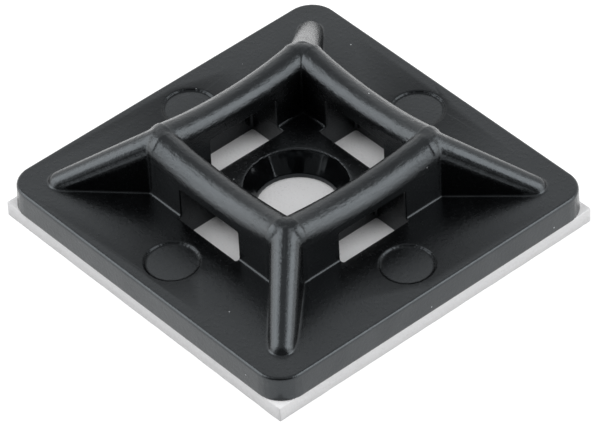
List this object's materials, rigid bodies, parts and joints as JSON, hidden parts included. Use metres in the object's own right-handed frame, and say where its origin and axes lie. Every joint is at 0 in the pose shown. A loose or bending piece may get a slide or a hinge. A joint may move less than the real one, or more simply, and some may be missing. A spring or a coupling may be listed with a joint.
{
  "type": "cable tie mount",
  "caption": "Square self-adhesive cable tie mount with a raised four-way tie frame, corner ribs and a countersunk screw hole.",
  "frame": {"origin": "centre of the square adhesive face, on the underside of the foam pad", "axes": "+Z out of the mounting surface, through the screw hole; X and Y square to the plate's sides, one along each tie path"},
  "size_m": [0.019, 0.019, 0.0053],
  "materials": {
    "mount_body": "satin, fine spark-eroded grain",
    "foam_pad": "matt, closed-cell foam"
  },
  "bodies": {
    "root": {"foam_pad": "foam_pad", "mount_body": "mount_body"}
  },
  "joints": []
}
